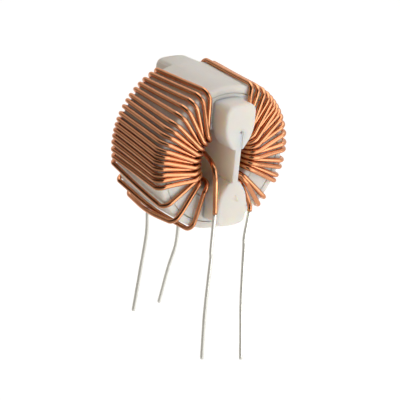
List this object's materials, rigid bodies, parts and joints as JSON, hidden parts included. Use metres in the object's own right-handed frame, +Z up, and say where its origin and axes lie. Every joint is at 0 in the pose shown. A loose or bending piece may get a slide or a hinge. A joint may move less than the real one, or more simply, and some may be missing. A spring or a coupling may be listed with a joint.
{
  "type": "common mode choke",
  "caption": "Toroidal common mode choke: a ring core in a white moulded case, wound with copper wire on both sides of a divider, with tinned wire leads for a circuit board.",
  "frame": {"origin": "on the board plane, under the middle of the case and between the four leads", "axes": "+Z up, away from the board; +Y to the rear along the toroid axis; +X to the right, seen from the front"},
  "size_m": [0.0248, 0.0231, 0.0428],
  "materials": {
    "ferrite": "matte",
    "case_plastic": "satin",
    "enamelled_copper": "gloss",
    "tinned_wire": "satin"
  },
  "bodies": {
    "root": {"core": "ferrite", "case_cup": "case_plastic", "case_lid": "case_plastic", "partition_plate": "case_plastic", "winding_left": "enamelled_copper", "winding_right": "enamelled_copper", "lead_front_left": "tinned_wire", "lead_front_right": "tinned_wire", "lead_rear_left": "tinned_wire", "lead_rear_right": "tinned_wire"}
  },
  "joints": []
}
